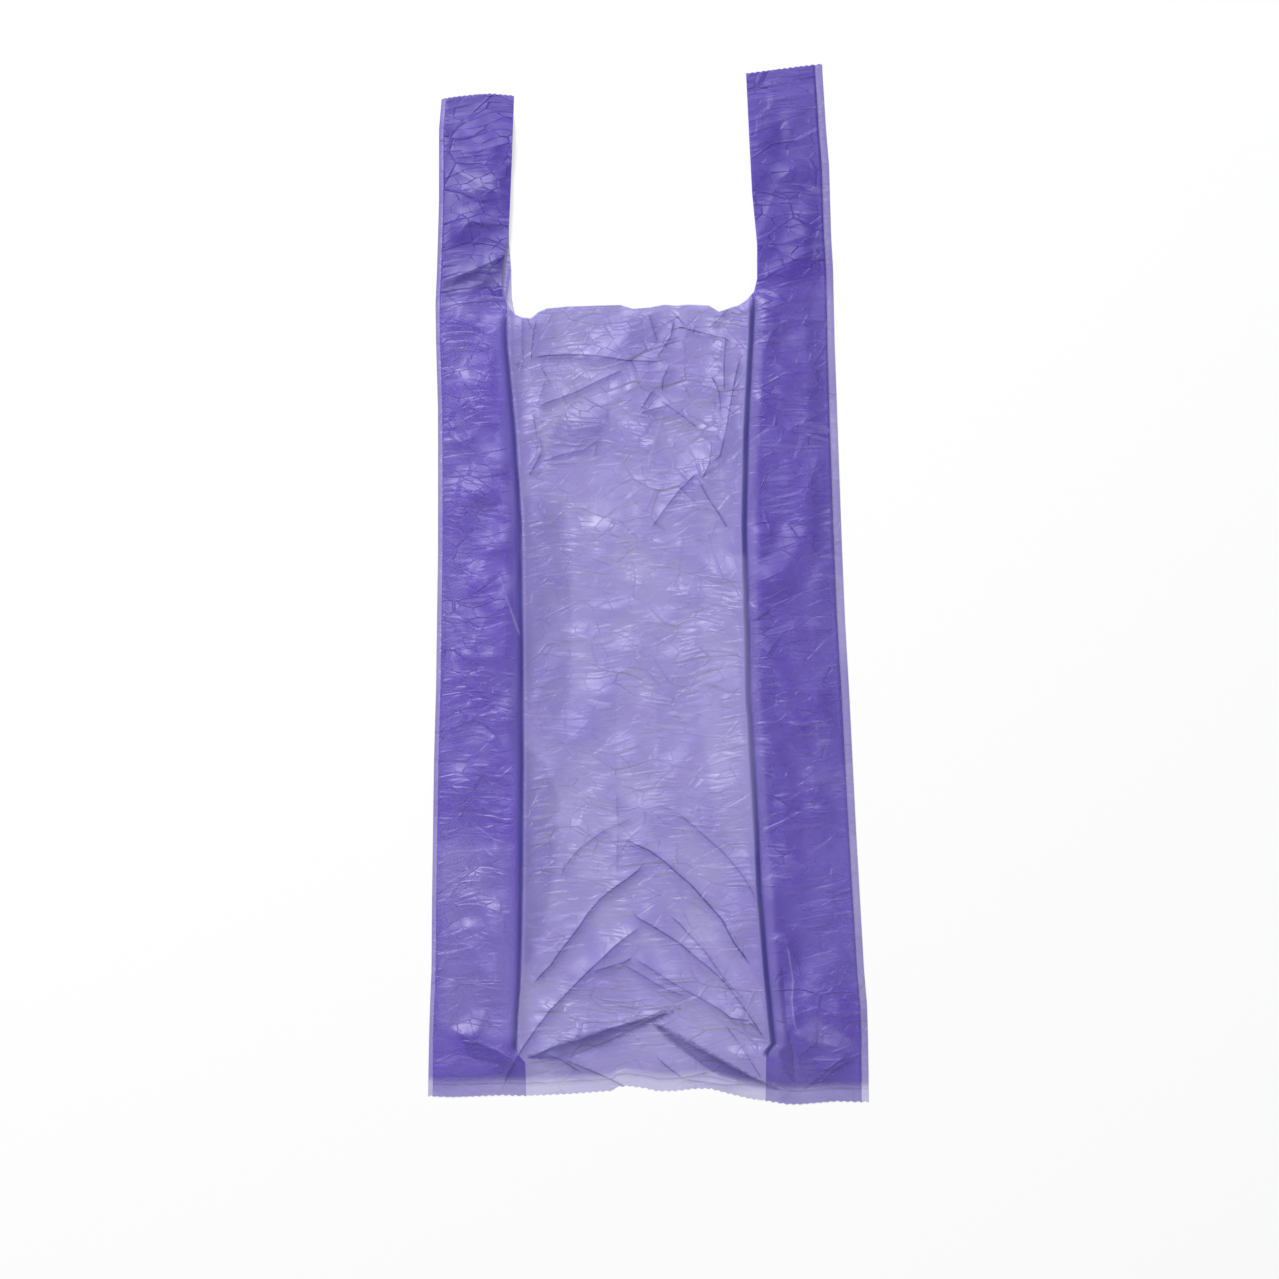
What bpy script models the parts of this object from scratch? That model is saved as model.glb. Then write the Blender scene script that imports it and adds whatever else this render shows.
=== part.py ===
"""A thin plastic carrier bag with two handles, lying flat and empty on its back.

The bag is one piece of film. A blown tube is folded flat with a gusset tucked into each
side, welded across its bottom and across the top of each handle, and cut through all its
layers by a die that leaves the mouth and the two handles. Used and laid down again, it
draws in towards the mouth, leans a little and keeps its creases.

Units are metres. +Z is up, the back panel lies on Z = 0 and the handles point along +Y.
"""

import math

import bmesh
import bpy
from mathutils import Vector

# The bag as it is made, folded flat
FLAT_WIDTH = 0.2004
FLAT_LENGTH = 0.4580
GUSSET_DEPTH = 0.0455
HANDLE_WIDTH = 0.0340
HANDLE_LENGTH = 0.1018
MOUTH_RADIUS = 0.0090
WELD_WIDTH = 0.0014
BOTTOM_SKIRT = 0.0050
HANDLE_SKIRT = 0.0065
TOOTH_PITCH = 0.0030
TOOTH_DEPTH = 0.0006

# The film: its wall is drawn thicker than the real 0.015 mm, so that it is a solid
FILM_WALL = 0.00020
LAYER_GAP = 0.00040

# How it lies once it has been used
MOUTH_WIDTH = 0.1780
MOUTH_GUSSET = 0.0365
LEAN = -0.0070
HANDLE_SKEW = 0.0075
BOTTOM_BOW = 0.0045
BOTTOM_TILT = 0.0014
LEFT_STEP = 0.0027
RIGHT_STEP = 0.0036
ROLL_WIDTH = 0.0060
PILLOW = 0.0012
MOUTH_LIFT = 0.0014
MOUTH_REACH = 0.070
EDGE_FADE = 0.010
WELD_FADE = 0.012

# The die runs through the film from below it to above it
DIE_DEPTH = 0.060

# How finely the film is divided
RINGS = 42
GUSSET_STEPS = 4
ROLL_STEPS = 3
CENTRE_STEPS = 12
BACK_STEPS = 6
ARC_STEPS = 8

HALF = FLAT_WIDTH / 2
PITCH = FILM_WALL + LAYER_GAP
MOUTH = FLAT_LENGTH - HANDLE_LENGTH
BACK = FILM_WALL / 2

# Creases of the front panel: share across from -1 to 1, share along from 0 to 1,
# then the height of the ridge and how far its foot lies from its crest
CREASES = {
    "shoulder": ([(-0.52, 0.727), (0.15, 0.722)], 0.0016, 0.009),
    "shoulder_low": ([(-0.47, 0.678), (-0.06, 0.713), (0.20, 0.757)], 0.0014, 0.008),
    "dart": (
        [(0.20, 0.757), (0.45, 0.744), (0.44, 0.667), (0.37, 0.622), (0.06, 0.558)],
        0.0018,
        0.008,
    ),
    "upper_arc_left": ([(-0.39, 0.214), (-0.07, 0.268)], 0.0010, 0.008),
    "upper_arc_right": (
        [(0.06, 0.280), (0.23, 0.270), (0.39, 0.229), (0.50, 0.194)],
        0.0014,
        0.009,
    ),
    "chevron_right": (
        [(-0.06, 0.248), (0.19, 0.206), (0.34, 0.175), (0.41, 0.144)],
        0.0022,
        0.008,
    ),
    "chevron_left": (
        [(0.00, 0.227), (-0.27, 0.175), (-0.48, 0.115), (-0.59, 0.039)],
        0.0020,
        0.008,
    ),
    "inner_right": ([(-0.08, 0.179), (0.23, 0.137), (0.55, 0.052)], 0.0018, 0.008),
    "inner_left": (
        [(-0.01, 0.166), (-0.19, 0.137), (-0.34, 0.105), (-0.51, 0.062)],
        0.0018,
        0.008,
    ),
    "low_right": ([(-0.07, 0.131), (0.24, 0.094), (0.54, 0.049)], 0.0014, 0.007),
    "tuck_left": ([(0.12, 0.081), (-0.17, 0.062), (-0.58, 0.030)], 0.0018, 0.008),
    "tuck_right": ([(0.02, 0.069), (0.18, 0.046), (0.47, 0.022)], 0.0018, 0.008),
    "gusset_nick": ([(-0.69, 0.499), (-0.59, 0.454)], 0.0010, 0.008),
    "corner_pleat": ([(0.59, 0.150), (0.66, 0.086), (0.61, 0.030)], 0.0018, 0.008),
    "corner_fold": ([(0.67, 0.030), (0.88, 0.045)], 0.0012, 0.007),
}


def smooth(share):
    """Eases from 0 to 1 as share goes from 0 to 1, and stays flat outside."""
    share = min(max(share, 0.0), 1.0)
    return share * share * (3 - 2 * share)


def even(start, end, steps):
    """The steps + 1 values from start to end."""
    return [start + (end - start) * i / steps for i in range(steps + 1)]


def lying_width(along):
    return MOUTH_WIDTH + (FLAT_WIDTH - MOUTH_WIDTH) * max(0.0, 1 - along) ** 1.6


def lie_along(across, along):
    """How a point's height on the bag changes as the film skews and bows."""
    slack = max(0.0, 1 - along) ** 2
    bottom = (BOTTOM_BOW * across**2 + BOTTOM_TILT * across) * slack
    return HANDLE_SKEW * across * along - bottom


def lie(x, y):
    """Where a point of the flat tube comes to lie. The straps keep their width."""
    along = y / FLAT_LENGTH
    half = lying_width(along) / 2
    from_edge = HALF - abs(x)
    if from_edge < HANDLE_WIDTH:
        placed = math.copysign(half - from_edge, x)
    else:
        placed = x * (half - HANDLE_WIDTH) / (HALF - HANDLE_WIDTH)
    return placed + LEAN * smooth(along), y + lie_along(x / HALF, along)


def on_panel(across, along):
    """The point at these shares of the panel's width and length, as it lies."""
    x = LEAN * smooth(along) + across * lying_width(along) / 2
    return Vector((x, along * FLAT_LENGTH + lie_along(across, along)))


def gusset_depth(y):
    """The gusset slides out towards the mouth, where the used bag is drawn in."""
    return GUSSET_DEPTH - (GUSSET_DEPTH - MOUTH_GUSSET) * smooth(y / MOUTH)


def front_line(y):
    """The front panel's (x, z) points from its left fold to its right one."""
    fold = HALF - gusset_depth(y)
    middle = fold - ROLL_WIDTH
    xs = even(-HALF + LEFT_STEP + PITCH / 2, -fold, GUSSET_STEPS)
    xs += even(-fold, -middle, ROLL_STEPS)[1:]
    xs += even(-middle, middle, CENTRE_STEPS)[1:]
    xs += even(middle, fold, ROLL_STEPS)[1:]
    xs += even(fold, HALF - RIGHT_STEP - PITCH / 2, GUSSET_STEPS)[1:]
    return [(x, BACK + PITCH * (3 - 2 * smooth((fold - abs(x)) / ROLL_WIDTH))) for x in xs]


def back_line():
    """The back panel's points from its right fold to its left one, flat on the ground."""
    edge = HALF - PITCH / 2
    return [(x, BACK) for x in even(edge, -edge, BACK_STEPS)]


def gusset_line(y, side, step):
    """A gusset's points, from the front panel's fold in to its own fold and out again.

    side is 1 on the right and -1 on the left, and step is how far the back fold stands
    out past the front one.
    """
    inner = HALF - gusset_depth(y)
    upper = even(HALF - step - PITCH / 2, inner + PITCH / 2, GUSSET_STEPS)
    lower = even(inner + PITCH / 2, HALF - PITCH / 2, GUSSET_STEPS)
    points = [(HALF - step, BACK + 2.5 * PITCH)]
    points += [(x, BACK + 2 * PITCH) for x in upper]
    points += [(inner, BACK + 1.5 * PITCH)]
    points += [(x, BACK + PITCH) for x in lower]
    points += [(HALF, BACK + PITCH / 2)]
    return [(side * x, z) for x, z in points]


def section(y):
    """The film's whole section, once round the folded tube."""
    right = gusset_line(y, 1, RIGHT_STEP)
    left = gusset_line(y, -1, LEFT_STEP)
    return front_line(y) + right + back_line() + left[::-1]


def distance_to(place, points):
    """How far a place lies from a line through these points."""
    nearest = []
    for start, end in zip(points, points[1:]):
        run = end - start
        share = min(max((place - start).dot(run) / run.length_squared, 0.0), 1.0)
        nearest.append((place - start - run * share).length)
    return min(nearest)


def shares_of(x, y):
    """The shares across and along of a lying point: on_panel the other way round."""
    along = y / FLAT_LENGTH
    for _ in range(3):
        across = (x - LEAN * smooth(along)) * 2 / lying_width(along)
        along = (y - lie_along(across, along)) / FLAT_LENGTH
    return across, along


def lift(x, y):
    """How far the front panel stands up from its folded height at this lying place."""
    across, along = shares_of(x, y)
    height = along * FLAT_LENGTH
    crown = max(0.0, 1 - across**2)
    raised = crown * (PILLOW + MOUTH_LIFT * smooth(1 - abs(height - MOUTH) / MOUTH_REACH))
    for points, ridge, foot in CREASES.values():
        line = [on_panel(*point) for point in points]
        raised += ridge * max(0.0, 1 - distance_to(Vector((x, y)), line) / foot)
    to_edge = lying_width(along) / 2 * (1 - abs(across)) - RIGHT_STEP
    to_weld = min(height - BOTTOM_SKIRT, FLAT_LENGTH - HANDLE_SKIRT - height) - WELD_WIDTH
    return raised * smooth(to_edge / EDGE_FADE) * smooth(to_weld / WELD_FADE)


def new_collection(name):
    made = bpy.data.collections.new(name)
    bpy.context.scene.collection.children.link(made)
    return made


def add_mesh(name, bm, collection):
    mesh = bpy.data.meshes.new(name)
    bm.to_mesh(mesh)
    bm.free()
    obj = bpy.data.objects.new(name, mesh)
    collection.objects.link(obj)
    return obj


def ring_of(bm, points, y):
    """A closed loop of edges through these (x, z) points, at this height on the bag."""
    verts = [bm.verts.new((x, y, z)) for x, z in points]
    return [bm.edges.new((a, b)) for a, b in zip(verts, verts[1:] + verts[:1])]


def drawn_out(bm, edges, stations):
    """Extrudes a loop of edges along the bag, reshaped at each (y, points) station."""
    for y, points in stations:
        grown = bmesh.ops.extrude_edge_only(bm, edges=edges)["geom"]
        moved = [v for v in grown if isinstance(v, bmesh.types.BMVert)]
        bm.verts.index_update()
        moved.sort(key=lambda v: v.index)
        for vert, (x, z) in zip(moved, points):
            vert.co = (x, y, z)
        edges = [e for e in grown if isinstance(e, bmesh.types.BMEdge)]
    return edges


def lay_down(bm):
    for vert in bm.verts:
        x, y = lie(vert.co.x, vert.co.y)
        vert.co.x = x
        vert.co.y = y


def score(bm, front):
    """Cuts an edge into the front panel along each crease, so that the fold is sharp."""
    for points, _, foot in CREASES.values():
        line = [on_panel(*point) for point in points]
        for start, end in zip(line, line[1:]):
            run = end - start
            middle = (start + end) / 2
            reach = run.length / 2 + foot
            near = [
                f
                for f in bm.faces
                if f[front]
                and (f.calc_center_median().xy - middle).length < reach
                and distance_to(f.calc_center_median().xy, [start, end]) < foot
            ]
            edges = {e for f in near for e in f.edges}
            verts = {v for f in near for v in f.verts}
            bmesh.ops.bisect_plane(
                bm,
                geom=[*near, *edges, *verts],
                dist=foot / 8,
                plane_co=(middle.x, middle.y, 0),
                plane_no=(run.y, -run.x, 0),
            )


def ring_heights():
    """Where the film has a ring: past both ends, along both welds, and evenly between."""
    low = [-TOOTH_PITCH, BOTTOM_SKIRT, BOTTOM_SKIRT + WELD_WIDTH]
    high = [FLAT_LENGTH - HANDLE_SKIRT - WELD_WIDTH, FLAT_LENGTH - HANDLE_SKIRT]
    return low + even(low[-1], high[0], RINGS)[1:-1] + high + [FLAT_LENGTH + TOOTH_PITCH]


def make_film(collection):
    """The folded tube as one surface, then its thickness."""
    bm = bmesh.new()
    front = bm.faces.layers.int.new("front")
    start, *rest = ring_heights()
    drawn_out(bm, ring_of(bm, section(start), start), [(y, section(y)) for y in rest])
    above = BACK + PITCH * 0.75
    for face in bm.faces:
        middle = face.calc_center_median()
        fold = HALF - gusset_depth(middle.y)
        level = BACK + 2.75 * PITCH if abs(middle.x) > fold else above
        face[front] = int(middle.z > level)
    lay_down(bm)
    score(bm, front)
    for vert in {v for f in bm.faces if f[front] for v in f.verts}:
        vert.co.z += lift(vert.co.x, vert.co.y)
    bmesh.ops.triangulate(bm, faces=bm.faces)
    bmesh.ops.recalc_face_normals(bm, faces=bm.faces)
    film = add_mesh("carrier_bag", bm, collection)
    film.data.materials.append(film_material())
    wall = film.modifiers.new("wall", "SOLIDIFY")
    wall.thickness = FILM_WALL
    wall.offset = 0
    wall.use_even_offset = True
    wall.use_quality_normals = True
    return film


def make_weld(name, outline, centre, collection):
    """A bar that fuses every layer inside its (x, z) outline, across the film."""
    bm = bmesh.new()
    start, end = centre - WELD_WIDTH / 2, centre + WELD_WIDTH / 2
    edges = ring_of(bm, outline, start)
    last = drawn_out(bm, edges, [(end, outline)])
    ends = bmesh.ops.contextual_create(bm, geom=edges)["faces"]
    ends += bmesh.ops.contextual_create(bm, geom=last)["faces"]
    bmesh.ops.triangulate(bm, faces=ends)
    lay_down(bm)
    bmesh.ops.recalc_face_normals(bm, faces=bm.faces)
    bar = add_mesh(name, bm, collection)
    as_cutter(bar)
    return bar


def as_cutter(obj):
    obj.hide_render = True
    obj.display_type = "WIRE"


def bottom_outline(y):
    """The stack's silhouette between the middles of its outer walls."""
    step = HALF - RIGHT_STEP
    points = [(-HALF + LEFT_STEP, BACK + 2.5 * PITCH)] + front_line(y)
    points += [(step, BACK + 2.5 * PITCH), (step, BACK + PITCH)]
    points += [(HALF - PITCH / 2, BACK + PITCH), (HALF, BACK + PITCH / 2)]
    points += back_line() + [(-HALF, BACK + PITCH / 2), (-HALF + PITCH / 2, BACK + PITCH)]
    return points + [(-HALF + LEFT_STEP, BACK + PITCH)]


def handle_outline(side, step):
    """The same silhouette over one handle, run on past the cut that the die makes."""
    inner = HALF - HANDLE_WIDTH - WELD_WIDTH
    outer = HALF - step
    top = BACK + 3 * PITCH
    points = [(inner, top), (outer - PITCH / 2, top), (outer, top - PITCH / 2)]
    points += [(outer, BACK + PITCH), (HALF - PITCH / 2, BACK + PITCH)]
    points += [(HALF, BACK + PITCH / 2), (HALF - PITCH / 2, BACK), (inner, BACK)]
    return [(side * x, z) for x, z in points]


def teeth(start, end, y, depth):
    """A toothed edge from start to end: the knife's points reach y."""
    steps = 2 * round(abs(end - start) / TOOTH_PITCH)
    return [(x, y + depth * (i % 2)) for i, x in enumerate(even(start, end, steps))]


def arc(centre, start, end):
    angles = even(math.radians(start), math.radians(end), ARC_STEPS)
    return [
        (centre[0] + MOUTH_RADIUS * math.cos(a), centre[1] + MOUTH_RADIUS * math.sin(a))
        for a in angles
    ]


def make_die(collection):
    """What the knives leave: both toothed ends, and the mouth between the handles."""
    out = HALF + TOOTH_PITCH
    inner = HALF - HANDLE_WIDTH
    corner = inner - MOUTH_RADIUS
    raised = MOUTH + MOUTH_RADIUS
    points = teeth(-out, out, 0, TOOTH_DEPTH)
    points += teeth(out, inner, FLAT_LENGTH, -TOOTH_DEPTH)
    points += arc((corner, raised), 0, -90)
    points += [(x, MOUTH) for x in even(corner, -corner, CENTRE_STEPS)[1:-1]]
    points += arc((-corner, raised), -90, -180)
    points += teeth(-inner, -out, FLAT_LENGTH, -TOOTH_DEPTH)
    curve = bpy.data.curves.new("die", "CURVE")
    curve.dimensions = "2D"
    curve.fill_mode = "BOTH"
    curve.extrude = DIE_DEPTH / 2
    spline = curve.splines.new("POLY")
    spline.points.add(len(points) - 1)
    for knot, point in zip(spline.points, points):
        knot.co = (*lie(*point), 0, 1)
    spline.use_cyclic_u = True
    outline = bpy.data.objects.new("die_outline", curve)
    collection.objects.link(outline)
    graph = bpy.context.evaluated_depsgraph_get()
    bm = bmesh.new()
    bm.from_mesh(bpy.data.meshes.new_from_object(outline.evaluated_get(graph)))
    bmesh.ops.remove_doubles(bm, verts=bm.verts, dist=1e-6)
    bmesh.ops.recalc_face_normals(bm, faces=bm.faces)
    bpy.data.objects.remove(outline)
    die = add_mesh("die", bm, collection)
    as_cutter(die)
    return die


def film_material():
    material = bpy.data.materials.new("purple_film")
    material.use_nodes = True
    shader = material.node_tree.nodes["Principled BSDF"]
    shader.inputs["Base Color"].default_value = (0.20, 0.16, 0.54, 1)
    shader.inputs["Roughness"].default_value = 0.35
    shader.inputs["Metallic"].default_value = 0.0
    return material


def main():
    for obj in list(bpy.data.objects):
        bpy.data.objects.remove(obj)
    bag = new_collection("plastic_carrier_bag")
    tools = new_collection("welds_and_die")
    film = make_film(bag)
    bottom = BOTTOM_SKIRT + WELD_WIDTH / 2
    top = FLAT_LENGTH - HANDLE_SKIRT - WELD_WIDTH / 2
    welds = [
        make_weld("bottom_weld", bottom_outline(bottom), bottom, tools),
        make_weld("left_handle_weld", handle_outline(-1, LEFT_STEP), top, tools),
        make_weld("right_handle_weld", handle_outline(1, RIGHT_STEP), top, tools),
    ]
    for weld in welds:
        fused = film.modifiers.new(weld.name, "BOOLEAN")
        fused.operation = "UNION"
        fused.object = weld
    die = make_die(tools)
    cut = film.modifiers.new("die", "BOOLEAN")
    cut.operation = "INTERSECT"
    cut.object = die
    bpy.context.view_layer.update()
    corners = [Vector(corner) for corner in film.evaluated_get(
        bpy.context.evaluated_depsgraph_get()).bound_box]
    origin = bpy.data.objects.new("bag_origin", None)
    bag.objects.link(origin)
    middle = sum(corners, Vector()) / len(corners)
    origin.location = (-middle.x, -middle.y, -min(corner.z for corner in corners))
    for obj in [film, die, *welds]:
        obj.parent = origin


main()
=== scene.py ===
# %% [markdown]
# # A plastic carrier bag, lying flat
# The bag is one piece of purple film, thinner than a hair. A blown tube is folded flat with a
# gusset tucked into each side, welded across its ends and cut to leave a mouth and two handles.
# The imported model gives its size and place, and this lesson gives it the look of real, used film.

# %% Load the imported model
import math
import random
from collections import defaultdict

import bmesh
import bpy
import numpy as np
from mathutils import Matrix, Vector


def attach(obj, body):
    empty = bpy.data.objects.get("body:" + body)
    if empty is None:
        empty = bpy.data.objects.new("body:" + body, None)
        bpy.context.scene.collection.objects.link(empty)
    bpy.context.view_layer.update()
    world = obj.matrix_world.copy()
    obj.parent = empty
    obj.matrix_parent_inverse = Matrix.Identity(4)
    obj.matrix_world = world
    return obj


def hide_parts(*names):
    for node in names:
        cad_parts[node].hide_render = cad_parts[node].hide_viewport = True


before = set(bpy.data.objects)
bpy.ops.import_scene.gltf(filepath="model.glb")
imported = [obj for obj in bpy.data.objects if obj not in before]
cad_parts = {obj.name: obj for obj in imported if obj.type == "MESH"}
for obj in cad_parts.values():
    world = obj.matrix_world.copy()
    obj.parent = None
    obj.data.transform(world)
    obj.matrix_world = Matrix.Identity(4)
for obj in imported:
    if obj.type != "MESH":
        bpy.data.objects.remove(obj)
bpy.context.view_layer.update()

# %% [markdown]
# ## Where things lie
# The bag is looked at from straight above, so a place in the picture is a place on the floor. One
# scale and one middle point turn picture pixels into metres, and every line that is traced from
# the real bag goes through them.

# %% From picture pixels to metres
FRAME_PIXELS = 1279
PIXEL = 0.0004545
MIDDLE = (648.0, 583.5)


def place(px, py):
    """The floor position, in metres, of a picture pixel."""
    return (px - MIDDLE[0]) * PIXEL, (MIDDLE[1] - py) * PIXEL


def traced(points):
    """An array of floor positions from (px, py) pairs."""
    return np.array([place(*point) for point in points])


print("picture width on the floor, mm:", round(1000 * FRAME_PIXELS * PIXEL, 1))

# %% [markdown]
# ## The camera
# A long lens far away keeps the outline free of perspective, as in a product picture taken from a
# copy stand. It looks straight down, so it needs no turning at all: Blender's camera looks down by
# itself.

# %% Camera
LENS = 100.0
SENSOR = 36.0

camera_data = bpy.data.cameras.new("copy_stand")
camera_data.lens = LENS
camera_data.sensor_width = SENSOR
camera = bpy.data.objects.new("copy_stand", camera_data)
centre = place(FRAME_PIXELS / 2, FRAME_PIXELS / 2)
camera.location = (*centre, FRAME_PIXELS * PIXEL * LENS / SENSOR)
bpy.context.scene.collection.objects.link(camera)
bpy.context.scene.camera = camera
print("camera height:", round(camera.location.z, 3))

# %% [markdown]
# ## The floor and the light
# Thin film shows what it lies on, so the floor matters. It has to look white, also through the
# film, but it must not flood the bag with light. So to the camera it is partly a plain white, and
# to everything else it is an ordinary matt floor that takes the bag's shadow.

# %% Floor
FLOOR_SIZE = 6.0
FLOOR_GLOW = 0.62

bm = bmesh.new()
bmesh.ops.create_grid(bm, x_segments=1, y_segments=1, size=FLOOR_SIZE / 2)
floor_mesh = bpy.data.meshes.new("floor")
bm.to_mesh(floor_mesh)
bm.free()
floor = bpy.data.objects.new("floor", floor_mesh)
bpy.context.scene.collection.objects.link(floor)

floor_finish = bpy.data.materials.new("pale_floor")
floor_finish.use_nodes = True
nodes, links = floor_finish.node_tree.nodes, floor_finish.node_tree.links
matt = nodes["Principled BSDF"]
matt.inputs["Base Color"].default_value = (0.88, 0.88, 0.89, 1)
matt.inputs["Roughness"].default_value = 0.9
matt.inputs["Specular IOR Level"].default_value = 0.1
paper_white = nodes.new("ShaderNodeEmission")
rays = nodes.new("ShaderNodeLightPath")
seen = nodes.new("ShaderNodeMath")
seen.operation = "MAXIMUM"
links.new(rays.outputs["Is Camera Ray"], seen.inputs[0])
links.new(rays.outputs["Is Glossy Ray"], seen.inputs[1])
seen_through = nodes.new("ShaderNodeMath")
seen_through.operation = "MAXIMUM"
links.new(seen.outputs[0], seen_through.inputs[0])
links.new(rays.outputs["Is Transmission Ray"], seen_through.inputs[1])
share = nodes.new("ShaderNodeMath")
share.operation = "MULTIPLY"
share.inputs[1].default_value = FLOOR_GLOW
links.new(seen_through.outputs[0], share.inputs[0])
white_or_matt = nodes.new("ShaderNodeMixShader")
links.new(share.outputs[0], white_or_matt.inputs[0])
links.new(matt.outputs[0], white_or_matt.inputs[1])
links.new(paper_white.outputs[0], white_or_matt.inputs[2])
links.new(white_or_matt.outputs[0], nodes["Material Output"].inputs["Surface"])
floor_mesh.materials.append(floor_finish)
print("floor:", FLOOR_SIZE, "m square")

# %% [markdown]
# One soft lamp stands above the bag's upper left, as the shading of the folds shows, a far weaker
# one opposite softens the shadows, and an even world fills the rest. A smaller lamp would draw
# harder glints, and a larger one would wash the wrinkles out.

# %% Lamps and world
def soft_lamp(name, spot, size, power):
    """A square lamp at a spot, turned to the middle of the bag."""
    lamp = bpy.data.lights.new(name, "AREA")
    lamp.shape = "SQUARE"
    lamp.size = size
    lamp.energy = power
    stand = bpy.data.objects.new(name, lamp)
    stand.location = spot
    stand.rotation_euler = (-Vector(spot)).to_track_quat("-Z", "Y").to_euler()
    bpy.context.scene.collection.objects.link(stand)


soft_lamp("key", (-1.05, 1.55, 2.45), 0.9, 100.0)
soft_lamp("fill", (0.5, -1.3, 2.0), 0.8, 4.0)

world = bpy.data.worlds.new("studio")
world.use_nodes = True
sky = world.node_tree.nodes["Background"]
sky.inputs["Color"].default_value = (1.0, 1.0, 1.0, 1)
sky.inputs["Strength"].default_value = 0.26
bpy.context.scene.world = world
bpy.context.scene.view_settings.view_transform = "Standard"

# %% [markdown]
# ## The film's own sizes
# These are the sizes of the folded tube before it was used. The tube is 200 mm wide when folded,
# each gusset is 45 mm deep, and it was cut to a length of 458 mm. The film is far thinner than the
# space between the layers here, but loose film never lies as close as its own thickness.

# %% Sizes of the folded tube
WIDTH = 0.2004
LENGTH = 0.4580
GUSSET = 0.0455
GUSSET_AT_MOUTH = 0.0365
HANDLE_LENGTH = 0.1018
LEFT_STEP = 0.0021
RIGHT_STEP = 0.0032
ROLL = 0.0050
LAYER = 0.0006
PINCH = 0.0001
GROUND = 0.0001
SKIRT = 0.0050
HANDLE_SKIRT = 0.0065
WELD = 0.0014
TOOTH = 0.0006
CELL = 0.0030

HALF = WIDTH / 2
MOUTH = LENGTH - HANDLE_LENGTH
ROUND_TUBE = 2 * (WIDTH + 2 * GUSSET)
print("flat film:", round(ROUND_TUBE, 4), "m round by", LENGTH, "m long")

# %% [markdown]
# ## The folded section
# Round the tube once, the film runs across the front, into the right gusset and out again, across
# the back and through the left gusset. That closed line, drawn out along the bag, is the whole
# bag. Four layers lie over each other at the sides and two in the middle, and that alone makes the
# sides darker than the middle, as on the real bag.

# %% Section of the tube
def ease(share):
    """From 0 to 1 with a soft start and a soft end."""
    share = np.clip(share, 0.0, 1.0)
    return share * share * (3 - 2 * share)


def gusset_depth(y):
    return GUSSET - (GUSSET - GUSSET_AT_MOUTH) * ease(y / MOUTH)


def row(start, end, size=CELL, steps=None):
    """Evenly spaced values from start to end, both kept."""
    return np.linspace(start, end, (steps or round(abs(end - start) / size)) + 1)


GUSSET_STEPS = round(GUSSET / CELL) - 1
ROLL_STEPS = 3
CENTRE_STEPS = round((WIDTH - 2 * GUSSET - 2 * ROLL) / CELL)


def section(y):
    """(x, z, share of the relief) once round the tube, starting at the front's left fold."""
    fold = HALF - gusset_depth(y)
    xs = np.concatenate([
        row(-HALF + LEFT_STEP + PINCH, -fold, steps=GUSSET_STEPS),
        row(-fold, -fold + ROLL, steps=ROLL_STEPS)[1:],
        row(-fold + ROLL, fold - ROLL, steps=CENTRE_STEPS)[1:],
        row(fold - ROLL, fold, steps=ROLL_STEPS)[1:],
        row(fold, HALF - RIGHT_STEP - PINCH, steps=GUSSET_STEPS)[1:],
    ])
    front = [(x, 3 - 2 * ease((fold - abs(x)) / ROLL), 1.0) for x in xs]
    back = [(x, 0.0, 0.0) for x in row(HALF - PINCH, -HALF + PINCH)]
    sides = []
    for step in (RIGHT_STEP, LEFT_STEP):
        upper = row(HALF - step - PINCH, fold + PINCH, steps=GUSSET_STEPS)
        lower = row(fold + PINCH, HALF - PINCH, steps=GUSSET_STEPS)
        side = [(HALF - step, 2.5, 0.75)] + [(x, 2.0, 0.6) for x in upper] + [(fold, 1.5, 0.45)]
        sides.append(side + [(x, 1.0, 0.3) for x in lower] + [(HALF, 0.5, 0.1)])
    left = [(-x, level, part) for x, level, part in sides[1][::-1]]
    return [(x, GROUND + LAYER * level, part) for x, level, part in front + sides[0] + back + left]


print("points once round the tube:", len(section(0.0)))

# %% [markdown]
# ## Drawing the film out
# A ring of edges with that outline is extruded row by row along the bag, as the film itself was
# drawn from its die. Each vertex keeps two notes: how far round the tube it lies, which later
# carries the wrinkle pattern, and how much of the front's relief it follows.

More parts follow.
